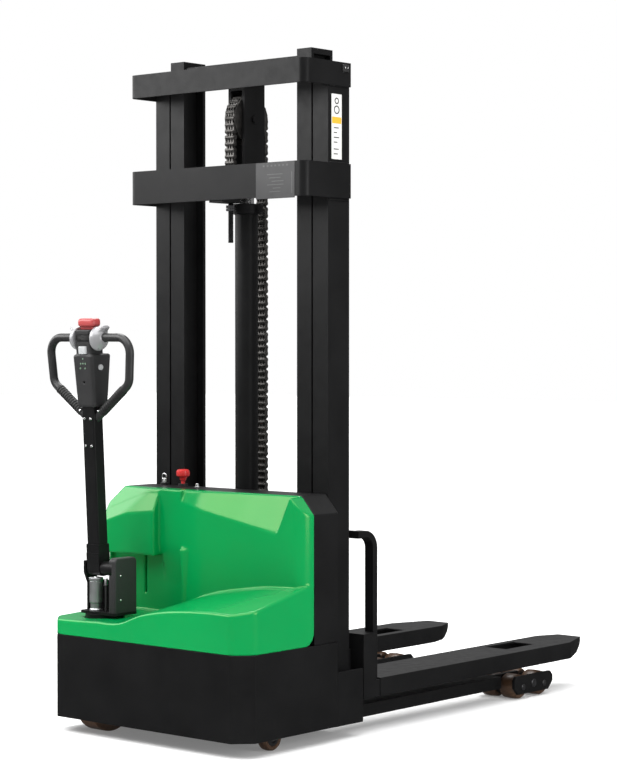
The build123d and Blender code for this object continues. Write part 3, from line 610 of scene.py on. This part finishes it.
def dress_cad_nodes():
    """Give every CAD node its finish and softly broken edges."""
    slots = {part["node"]: part["material_slot"] for part in frame["record"]["subparts"]}
    joins = soft_edges()
    for name, node in NODES.items():
        node.data.materials.clear()
        node.data.materials.append(FINISHES[slots[name]])
        node.modifiers.new("join", "NODES").node_group = joins
        bevel = node.modifiers.new("bevel", "BEVEL")
        bevel.width = EDGE_WIDTHS.get(name, 0.8) * MM
        bevel.segments = 2
        bevel.limit_method = "ANGLE"
        bevel.angle_limit = math.radians(32)
        node.modifiers.new("normals", "WEIGHTED_NORMAL")


# ---- tiller ------------------------------------------------------------------------------
BAR_HEIGHT = 688.0
HEAD_TOP = 712.0
SHOULDER = 633.0
HEAD_LOW = 482.0


def head_distance(p):
    """Tapered control head with a narrower neck for the switches."""
    x, y, z = p
    share = np.clip((z - HEAD_LOW) / (SHOULDER - HEAD_LOW), 0, 1)
    half = 37 + 5 * share
    front = -27 - 7 * share
    back = 33 + 15 * share
    lower = blend_max(np.abs(x) - half, slab(y, front, back), 11)
    lower = blend_max(lower, slab(z, HEAD_LOW, SHOULDER + 6), 8)
    dish = np.hypot(np.hypot(x, (z - 600) * 0.4), y + 34 + 97) - 100
    lower = blend_max(lower, -dish, 3)
    neck = blend_max(np.abs(x) - 31, slab(y, -29, 26), 6)
    neck = blend_max(neck, slab(z, SHOULDER - 10, HEAD_TOP), 4)
    seat = np.maximum(np.hypot(y + 6, z - BAR_HEIGHT) - 24.5, slab(x, -30, 30))
    seat = np.maximum(seat, y + 6)
    neck = blend_max(neck, -seat, 1)
    head = blend_min(lower, neck, 4)
    horn = np.maximum(np.maximum(slab(x, -15.5, 17.5), slab(z, 639.5, 664.5)), y + 24)
    head = blend_max(head, -horn, 1)
    for side in (-1, 1):
        button = np.maximum(np.hypot(y - 2, z - 600) - 9.6, 36 - side * x)
        head = np.maximum(head, -button)
    keyhole = np.maximum(np.hypot(x - 1, z - 556) - 3.6, y + 22)
    return blend_max(head, -keyhole, 1)


def make_head():
    step = 2.2
    shape = surface_of(head_distance, (-50, -44, 474), (50, 56, 722), step)
    add("head_shell", lean(shape), "black_plastic", "black_plastic", "tiller", ["tiller_head"], 60)
    grip = lathe([(0, -29.5), (21, -29.5), (23, -28), (23, 28), (21, 29.5), (0, 29.5)],
                 (0, -6, BAR_HEIGHT), "x", 144, 36, 1.4)
    add("grip_barrel", lean(grip), "rubber", "black_plastic", "tiller", sharp=70)
    lamps = []
    for x, z in ((1, 626), (-9, 612), (1, 612), (11, 612), (-11, 598), (9, 598)):
        lamps.append(lathe([(0, -3.2), (2.4, -2.6), (3.2, -1.4), (3.2, 3)], (x, -29.5, z), "y", 16))
    add("status_lamps", lean(joined(*lamps)), "lamp", "grey_plastic", "tiller")


def make_buttons():
    horn = rounded_box((-14.8, -34.5, 640.2), (16.8, -22, 663.8), 3.2)
    add("horn_cap", lean(horn), "grey_plastic", "grey_plastic", "horn_button", ["horn_button"])
    for name, side in (("raise", 1), ("lower", -1)):
        rim = [(0, side * 34), (8.7, side * 34), (8.7, side * 42.6), (7.6, side * 44.2),
               (5, side * 44.5), (0, side * 44.5)]
        cap = lathe(rim, (0, 2, 600), "x", 32)
        add(f"{name}_cap", lean(cap), "grey_plastic", "grey_plastic", f"{name}_button",
            [f"{name}_button"])
    pad = rounded_box((-33, -17, 720), (34, 19, 745), 8.5, 4)
    neck = rounded_box((-27, -9, 711.5), (27, 13, 724), 2)
    add("belly_cap", lean(joined(pad, neck)), "belly_red", "red_plastic", "belly_switch",
        ["belly_switch"])


def wing_distance(side):
    """Domed thumb wing with a paddle, on one side of the head."""
    def distance(p):
        x, y, z = p[0] * side, p[1], p[2]
        dome = np.sqrt(((x - 38) / 30) ** 2 + ((y + 2) / 34) ** 2 + ((z - 685) / 36) ** 2)
        dome = blend_max((dome - 1) * 30, 34.8 - x, 3)
        reach = (x - 50) * 0.72 + (z - 702) * 0.69
        rise = (z - 702) * 0.72 - (x - 50) * 0.69
        paddle = blend_max(slab(reach, -16, 27), np.hypot(rise * 2.0, (y - 3) * 0.85) - 14, 6)
        wing = blend_min(dome, paddle, 8)
        return blend_max(wing, 12.8 - np.hypot(y, z - BAR_HEIGHT), 0.8)
    return distance


def make_throttle():
    step = 1.8
    wings = []
    for side in (-1, 1):
        low, high = sorted((side * 30, side * 84))
        wings.append(surface_of(wing_distance(side), (low, -44, 640), (high, 44, 746), step))
    add("throttle_wings", lean(joined(*wings)), "silver_plastic", "grey_plastic", "throttle",
        ["throttle"], 60)


def make_handle():
    """Loop handle: one bent tube, with ribbed grips along its two lower runs."""
    half = 172.0
    points = [(9, 0, 441), (half - 12, 0, 552), (half, 0, BAR_HEIGHT), (-half, 0, BAR_HEIGHT),
              (-half + 12, 0, 552), (-9, 0, 441)]
    loop = tube(rounded_path(points, (38, 46, 46, 38)), 12.5)
    ribs = []
    for side in (-1, 1):
        start = np.array((side * 42.0, 0, 465.4))
        end = np.array((side * (half - 34), 0, 536.0))
        run = np.linalg.norm(end - start)
        share = np.linspace(0, 1, 97)
        reach = 12.6 + 1.9 * np.abs(np.sin(share * run / 9 * math.pi))
        reach[[0, -1]] = 12.4
        ribs.append(tube(start + share[:, None] * (end - start), reach))
    add("handle_tube", lean(loop), "handle_black", "handle_black", "tiller", ["handle_loop"])
    add("handle_grips", lean(joined(*ribs)), "rubber", "handle_black", "tiller", sharp=70)


def screw(centre, axis, sign, radius=4.6):
    """Button-head screw with a hexagon socket."""
    profile = [(0, -sign * 2), (radius, -sign * 2), (radius, sign * 1.2), (radius * 0.82, sign * 2.6),
               (radius * 0.5, sign * 3.1), (radius * 0.46, sign * 1.2), (0, sign * 1.2)]
    return lathe(profile, centre, axis, 24)


def make_tiller_screws():
    screws = [screw((x, -20.5, z), "y", -1) for x in (-12.5, 12.5) for z in (366, 447)]
    screws += [screw((side * 39, -12.5, 470), "y", -1, 4.0) for side in (-1, 1)]
    add("tiller_screws", lean(joined(*screws)), "bright_steel", "bright_steel", "tiller")


def make_tiller_base():
    """Bright return canister, stop screw and the housing's cover screw."""
    low, high = span("return_spring")
    x, y = (low[:2] + high[:2]) / 2
    foot, top = low[2], high[2]
    profile = [(0, foot), (19.5, foot), (19.5, foot + 4), (17, foot + 7), (17, foot + 22),
               (19.8, foot + 25), (19.8, top - 12), (18, top - 10), (21.5, top - 8),
               (21.5, top - 1.2), (20.3, top), (8.4, top), (8.4, top - 12), (0, top - 12)]
    add("return_canister", lathe(profile, (x, y, 0)), "bare_aluminium", "bare_aluminium",
        "steering", ["return_spring"])
    shank = pin(3.6, foot, top - 20, (x + 42, y, 0))
    add("stop_screw_shank", shank, "black_plastic", "black_plastic", "steering")
    head = lathe([(0, top - 22), (5.6, top - 22), (5.6, top - 2), (4.2, top), (0, top)],
                 (x + 42, y, 0))
    add("stop_screw_head", head, "bright_steel", "bright_steel", "steering")
    low, high = span("pivot_housing")
    cover_screws = [screw((high[0], low[1] + 22, z), "x", 1, 3.4) for z in (398, 470)]
    add("housing_screws", joined(*cover_screws), "bright_steel", "bright_steel", "steering")


# ---- roof ----------------------------------------------------------------------------------
def make_roof_controls():
    x, y, _ = middle("estop_button")
    low, high = span("estop_button")
    stem, top = low[2], high[2]
    profile = [(0, stem), (6, stem), (6, 736.5), (9.5, 738), (10.5, 744), (14, 748), (19.5, 750.5),
               (20.5, 753), (20.5, top - 8), (19, top - 3), (15, top - 0.5), (10, top), (0, top - 1)]
    add("estop_mushroom", lathe(profile, (x, y, 0), "z", 48), "red_plastic", "red_plastic", "estop",
        ["estop_button"])
    x, y, _ = middle("key")
    low, high = span("key")
    stem = pin(4, low[2], 733, (x, y, 0))
    angles = np.linspace(0, 2 * math.pi, 33)
    ring = [(x + 9 * math.cos(a), y, 745.5 + 9 * math.sin(a)) for a in angles]
    blade = rounded_box((x - 10, y - 1.6, 727.5), (x + 10, y + 1.6, 741), 1.2, 2)
    bow = tube(ring, 2.0, 12)
    add("key_grip", joined(stem, bow, blade), "bright_steel", "bright_steel", "key", ["key"])
    roof = span("rear_cover")[1][2]
    stud = lathe([(0, roof - 1), (8, roof - 1), (8, roof + 2), (5.5, roof + 3), (5.5, roof + 9),
                  (4, roof + 10.5), (0, roof + 10.5)], (-141, 385, 0))
    add("charge_lamp", stud, "bright_steel", "bright_steel", "chassis")


# ---- chain ---------------------------------------------------------------------------------
LINK = 19.05
PLATE = 7.8
FAT_ROWS = (-15.3, -5.1, 5.1, 15.3)
THIN_ROWS = (-10.2, 0.0, 10.2)
THREAD_TURNS = 62
THREAD_PITCH = 2.0


def plate_outline(length):
    """Figure-of-eight side plate between two pins, along the chain and across it."""
    outline = []
    for end, turn in ((0.0, 1), (length, -1)):
        for angle in np.linspace(50, 310, 11) if turn > 0 else np.linspace(-130, 130, 11):
            outline.append((end + PLATE * math.cos(math.radians(angle)),
                            PLATE * math.sin(math.radians(angle))))
    return outline


def chain_links(route, first):
    """Links between successive pins; route is a list of (y, z), all across the truck's middle."""
    shapes = []
    for k, (a, b) in enumerate(zip(route, route[1:])):
        a, b = np.array(a, float), np.array(b, float)
        along = (b - a) / np.linalg.norm(b - a)
        out = np.array((-along[1], along[0]))
        outline = [tuple(a + u * along + v * out) for u, v in plate_outline(np.linalg.norm(b - a))]
        for x in FAT_ROWS if (k + first) % 2 == 0 else THIN_ROWS:
            shapes.append(prism(outline, "x", x - 2.2, x + 2.2))
        shapes.append(pin(3.4, -18.4, 18.4, (0, *a), "x", 0.6, 12))
    return joined(*shapes)


def make_chain():
    sheave = middle("chain_sheave")
    front = middle("chain_front_strand")[1]
    rear_low = span("chain_rear_strand")[0][2]
    front_low = span("chain_front_strand")[0][2]
    radius = sheave[1] - front
    count = round((sheave[2] - front_low) / LINK)
    step = (sheave[2] - front_low) / count
    strand = [(front, front_low + k * step) for k in range(count + 1)]
    links = chain_links(strand, 0)
    piece = mesh_piece("chain_front_links", *links, FINISHES["chain_steel"], "chain_steel", 30)
    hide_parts("chain_front_strand")
    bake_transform(piece)
    turn = round(math.pi * radius / LINK)
    wrap = [(sheave[1] - radius * math.cos(math.pi * k / turn),
             sheave[2] + radius * math.sin(math.pi * k / turn)) for k in range(turn + 1)]
    add("chain_wrap_links", chain_links(wrap, count), "chain_steel", "chain_steel", "inner_mast",
        sharp=30)
    rear = sheave[1] + radius
    length = round((sheave[2] - rear_low) / LINK)
    step = (sheave[2] - rear_low) / length
    strand = [(rear, sheave[2] - k * step) for k in range(length + 1)]
    links = chain_links(strand, count + turn)
    piece = mesh_piece("chain_rear_links", *links, FINISHES["chain_steel"], "chain_steel", 30)
    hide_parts("chain_rear_strand")
    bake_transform(piece)


def make_anchor():
    """Threaded anchor bolt with two nuts and the clevis that holds the front strand."""
    low, high = span("chain_anchor_bolt")
    y = (low[1] + high[1]) / 2
    thread = [(0, low[2]), (6.6, low[2])]
    for k in range(THREAD_TURNS):
        height = low[2] + 1 + k * THREAD_PITCH
        thread += [(8.0, height), (7.0, height + 1)]
    thread += [(8.0, low[2] + 1 + THREAD_TURNS * THREAD_PITCH), (8.0, 1614), (0, 1614)]
    bolt = lathe(thread, (0, y, 0), "z", 24)
    nuts = [prism(hexagon(15, shift=y), "z", z, z + 7.5) for z in (1553, 1562)]
    clevis = rounded_box((-17.5, y - 8.5, 1609), (17.5, y + 8.5, high[2]), 2.5)
    add("anchor_bolt", joined(bolt, clevis, *nuts), "dark_steel", "chain_steel", "chassis",
        ["chain_anchor_bolt"], 30)


# ---- mast details ----------------------------------------------------------------------------
PLATE_X = (168.0, 318.0)
WELD_X = 351
WELD_FRONT = 424
WELD_BACK = 516


def make_heels():
    """Plates that close the forks' sides at the heel, beside the load guards' feet."""
    plates = [rounded_box((side * 375 - 4.5, 600, 106), (side * 375 + 4.5, 627, 156), 1.0, 1)
              for side in (-1, 1)]
    add("fork_heel_plates", joined(*plates), "painted_black", "painted_black", "carriage")


def make_clamp():
    """Clamp ring that holds the cylinder's gland under the lower beam."""
    low, high = span("cylinder_gland")
    x, y = (low[:2] + high[:2]) / 2
    reach = (high[0] - low[0]) / 2
    top = span("lower_crossbeam")[0][2]
    ring = [(reach + 0.2, high[2] - 24), (reach + 11, high[2] - 24), (reach + 11, top), (24, top),
            (24, high[2] + 0.5), (reach + 0.2, high[2] + 0.5), (reach + 0.2, high[2] - 24)]
    ear = rounded_box((-reach - 24, y - 8, high[2] - 20), (-reach - 6, y + 8, top), 2)
    other = rounded_box((reach + 6, y - 8, high[2] - 20), (reach + 24, y + 8, top), 2)
    add("cylinder_clamp", joined(lathe(ring, (x, y, 0)), ear, other), "painted_black",
        "painted_black", "chassis")


def make_labels():
    """Blank stickers and the rating plate, with plain bars where the lettering would be."""
    x = span("outer_rail_right")[1][0]
    y0, y1 = 437.0, 483.0
    paper = rounded_box((x - 1, y0, 1694), (x + 0.5, y1, 1884), 0.2, 1)
    add("rail_sticker", paper, "sticker_white", "grey_plastic", "chassis")
    band = rounded_box((x, y0 + 2, 1798), (x + 0.7, y1 - 2, 1817), 0.1, 1)
    add("rail_sticker_bands", band, "sticker_yellow", "grey_plastic", "chassis")
    lines = [rounded_box((x, y0 + 10, z), (x + 0.7, y0 + 10 + w, z + 3), 0.1, 1)
             for z, w in ((1784, 22), (1770, 14), (1756, 24), (1742, 16), (1722, 22), (1708, 18))]
    for z, radius in ((1864, 9.5), (1838, 12.5)):
        ring = [(radius - 3.5, -0.5), (radius, -0.5), (radius, 0.8), (radius - 3.5, 0.8),
                (radius - 3.5, -0.5)]
        lines.append(lathe(ring, (x, (y0 + y1) / 2, z), "x", 32))
    add("rail_sticker_lines", joined(*lines), "sticker_ink", "black_plastic", "chassis")
    low, high = span("lower_crossbeam")
    y = low[1]
    left, right = PLATE_X
    plate = rounded_box((left, y - 0.8, low[2] + 1), (right, y + 1, high[2] - 1), 0.4, 1)
    add("rating_plate", plate, "plate_grey", "black_plastic", "chassis")
    ticks = []
    for k in range(7):
        x = left + 28 + 15 * k
        ticks.append(rounded_box((x, y - 1.1, high[2] - 13), (x + 7, y, high[2] - 8), 0.1, 1))
    rows = [(44, 60, 70), (52, 44, 60), (62, 46, 50), (44, 64, 40), (66, 30, 30), (54, 40, 20)]
    for x, width, z in rows:
        corner = (left + x + width, y, low[2] + z + 2.5)
        ticks.append(rounded_box((left + x, y - 1.0, low[2] + z), corner, 0.1, 1))
    ticks.append(rounded_box((right - 12, y - 1.0, low[2] + 14), (right - 9, y, low[2] + 76), 0.1, 1))
    add("rating_plate_marks", joined(*ticks), "plate_mark", "grey_plastic", "chassis")


def bead(points, radius=3.2, across=(0, 1, 0)):
    """Weld bead: a thick line with the ripples of its passes."""
    points = [np.array(p, float) for p in points]
    length = np.linalg.norm(points[1] - points[0])
    share = np.linspace(0, 1, max(int(length / 2.2), 4))
    reach = radius + 0.5 * np.sin(share * length / 5 * 2 * math.pi)
    reach[[0, -1]] = radius * 0.4
    return tube(points[0] + share[:, None] * (points[1] - points[0]), reach, 10, across)


def make_welds():
    """Beads where the crossbeams meet the rails, and where the rails meet the legs."""
    beads = []
    rail_low, rail_high = span("outer_rail_left")
    for beam in ("upper_crossbeam", "lower_crossbeam"):
        low, high = span(beam)
        back = min(high[1], WELD_BACK) - 4
        for side in (-1, 1):
            x = side * WELD_X
            for z in (low[2] - 0.5, high[2] + 0.5):
                if z < rail_high[2] - 1:
                    beads.append(bead(((x, WELD_FRONT, z), (x, back, z)), across=(0, 0, 1)))
    for side in (-1, 1):
        for x in (300, 342):
            foot, head = ((side * x, rail_low[1] - 1, z) for z in (60, 250))
            beads.append(bead((foot, head)))
    add("weld_beads", joined(*beads), "painted_black", "painted_black", "chassis", sharp=70)


def hexagon_bolt(centre, axis, sign, flats=17.0):
    outline = hexagon(flats / math.sqrt(3), 30)
    head = prism(outline, axis, *sorted((0, sign * 7)))
    washer = pin(flats * 0.68, *sorted((0, sign * 2)), (0, 0, 0), axis, 0.4)
    return moved(joined(head, washer), *centre)


def make_bolts():
    """Bolts of the carriage, and the cable clip on the right end of the upper beam."""
    bolts = []
    rear = span("carriage_frame")[0][1]
    for side in (-1, 1):
        for z in (330, 520):
            bolts.append(hexagon_bolt((side * 265, rear, z), "y", -1))
    add("carriage_bolts", joined(*bolts), "dark_steel", "chain_steel", "carriage")
    high = span("upper_crossbeam")[1]
    x, y, z = high[0], high[1] - 26, high[2] - 16
    clip = rounded_box((x - 2, y - 14, z - 12), (x + 5, y + 14, z + 10), 2)
    add("beam_clip", clip, "black_plastic", "black_plastic", "chassis")
    dots = [screw((x + 5, y + dy, z), "x", 1, 2.6) for dy in (-6, 6)]
    add("beam_clip_screws", joined(*dots), "bright_steel", "bright_steel", "chassis")


# ---- wheels ----------------------------------------------------------------------------------
def roller(centre, radius, low, high, bore):
    """Moulded tyre with a crowned tread, on a recessed steel hub."""
    edge = radius * 0.12
    rim = radius * 0.62
    tyre = [(rim, low + 2), (radius * 0.68, low), (radius - edge, low),
            (radius - 1.2, low + edge), (radius, (low + high) / 2), (radius - 1.2, high - edge),
            (radius - edge, high), (radius * 0.68, high), (rim, high - 2)]
    hub = [(bore, low + 4), (radius * 0.36, low + 4), (radius * 0.4, low + 1.5),
           (rim, low + 1.5), (rim, high - 1.5), (radius * 0.4, high - 1.5),
           (radius * 0.36, high - 4), (bore, high - 4)]
    return lathe(tyre, centre, "x", 56), lathe(hub, centre, "x", 40)


def make_wheels():
    for side in ("left", "right"):
        for end in ("front", "rear"):
            node = f"load_wheel_{side}_{end}"
            low, high = span(node)
            centre = (0, *middle(node)[1:])
            width = (high[0] - low[0] - 22) / 2
            tyres, hubs = zip(*[roller(centre, (high[2] - low[2]) / 2, a, a + width, 8.2)
                                for a in (low[0], high[0] - width)])
            body = f"wheel_{side}_{end}"
            add(f"load_tyres_{side}_{end}", joined(*tyres), "wheel_polyurethane",
                "wheel_polyurethane", body, [node])
            add(f"load_hubs_{side}_{end}", joined(*hubs), "dark_steel", "bright_steel", body)
    low, high = span("caster_wheel")
    centre = (0, *middle("caster_wheel")[1:])
    tyre, hub = roller(centre, (high[2] - low[2]) / 2, low[0], high[0], 5.2)
    add("caster_tyre", tyre, "wheel_polyurethane", "wheel_polyurethane", "caster_wheel",
        ["caster_wheel"])
    add("caster_hub", hub, "dark_steel", "bright_steel", "caster_wheel")


def make_pins():
    """Circlips and pin heads on the outside of each bogie."""
    for name in ("bogie_left", "bogie_right"):
        low, high = span(name)
        heads = []
        for x, sign in ((high[0] - 2, 1), (low[0] + 2, -1)):
            for offset, radius in ((0, 13), (-59, 10), (59, 10)):
                y = (low[1] + high[1]) / 2 + offset
                z = 47 if offset == 0 else 40
                rim = [(0, 0), (radius, 0), (radius, sign * 1.8), (radius - 1.5, sign * 3),
                       (0, sign * 3)]
                heads.append(lathe(rim, (x, y, z), "x", 28))
        add(f"bogie_pin_heads_{name[6:]}", joined(*heads), "dark_steel", "bright_steel", name)


# ---- surroundings ----------------------------------------------------------------------
def make_floor():
    made, _, principled = shader("floor")
    principled.inputs["Base Color"].default_value = (0.86, 0.86, 0.86, 1)
    principled.inputs["Roughness"].default_value = 0.9
    principled.inputs["Specular IOR Level"].default_value = 0.0
    principled.inputs["Emission Color"].default_value = (1, 1, 1, 1)
    principled.inputs["Emission Strength"].default_value = 0.17
    half = 30000
    points = [(-half, -half, 0), (half, -half, 0), (half, half, 0), (-half, half, 0)]
    mesh = bpy.data.meshes.new("floor")
    mesh.from_pydata([tuple(at(*p)) for p in points], [], [(0, 1, 2, 3)])
    floor = bpy.data.objects.new("floor", mesh)
    floor.data.materials.append(made)
    floor.visible_glossy = False
    bpy.context.scene.collection.objects.link(floor)


def area_light(name, place, target, size, power):
    data = bpy.data.lights.new(name, "AREA")
    data.shape = "RECTANGLE"
    data.size, data.size_y = size
    data.energy = power
    light = bpy.data.objects.new(name, data)
    light.location = at(*place)
    aim = at(*target) - light.location
    light.rotation_euler = aim.to_track_quat("-Z", "Y").to_euler()
    bpy.context.scene.collection.objects.link(light)


def make_world():
    """White backdrop for the camera; a dim room with a light ceiling for everything else."""
    world = bpy.data.worlds.new("studio")
    bpy.context.scene.world = world
    world.use_nodes = True
    tree = world.node_tree
    seen = tree.nodes["Background"]
    seen.inputs["Color"].default_value = (1, 1, 1, 1)
    seen.inputs["Strength"].default_value = 1.0
    place = tree.nodes.new("ShaderNodeTexCoord")
    parts = tree.nodes.new("ShaderNodeSeparateXYZ")
    height = tree.nodes.new("ShaderNodeMapRange")
    height.inputs["From Min"].default_value = -1.0
    room = ramp(tree, height.outputs["Result"], 0.45, 1.0, ((0.10, 0.10, 0.10), (0.80, 0.80, 0.80)))
    dim = tree.nodes.new("ShaderNodeBackground")
    rays = tree.nodes.new("ShaderNodeLightPath")
    mix = tree.nodes.new("ShaderNodeMixShader")
    tree.links.new(place.outputs["Generated"], parts.inputs["Vector"])
    tree.links.new(parts.outputs["Z"], height.inputs["Value"])
    tree.links.new(room, dim.inputs["Color"])
    tree.links.new(rays.outputs["Is Camera Ray"], mix.inputs["Fac"])
    tree.links.new(dim.outputs["Background"], mix.inputs[1])
    tree.links.new(seen.outputs["Background"], mix.inputs[2])
    tree.links.new(mix.outputs["Shader"], tree.nodes["World Output"].inputs["Surface"])


def make_lights():
    make_world()
    sun = bpy.data.lights.new("sky_glow", "SUN")
    sun.energy = 2.9
    sun.angle = math.radians(75)
    glow = bpy.data.objects.new("sky_glow", sun)
    glow.rotation_euler = (math.radians(14), math.radians(10), 0)
    bpy.context.scene.collection.objects.link(glow)
    area_light("visor_box", (-1620, -1750, 2560), (150, 270, 680), (2.4, 1.6), 62)
    area_light("top_box", (-1250, 1450, 3400), (200, 200, 450), (1.7, 1.7), 70)
    area_light("left_box", (-2600, -250, 1950), (-280, 240, 680), (1.4, 1.4), 22)
    area_light("right_box", (4200, 600, 1300), (200, 300, 500), (1.8, 1.8), 55)
    bpy.context.scene.view_settings.view_transform = "Standard"


make_camera()
FINISHES = make_materials()
dress_cad_nodes()
make_hood()
make_head()
make_buttons()
make_throttle()
make_handle()
make_tiller_screws()
make_tiller_base()
make_roof_controls()
make_chain()
make_anchor()
make_clamp()
make_heels()
make_labels()
make_welds()
make_bolts()
make_wheels()
make_pins()
make_floor()
make_lights()
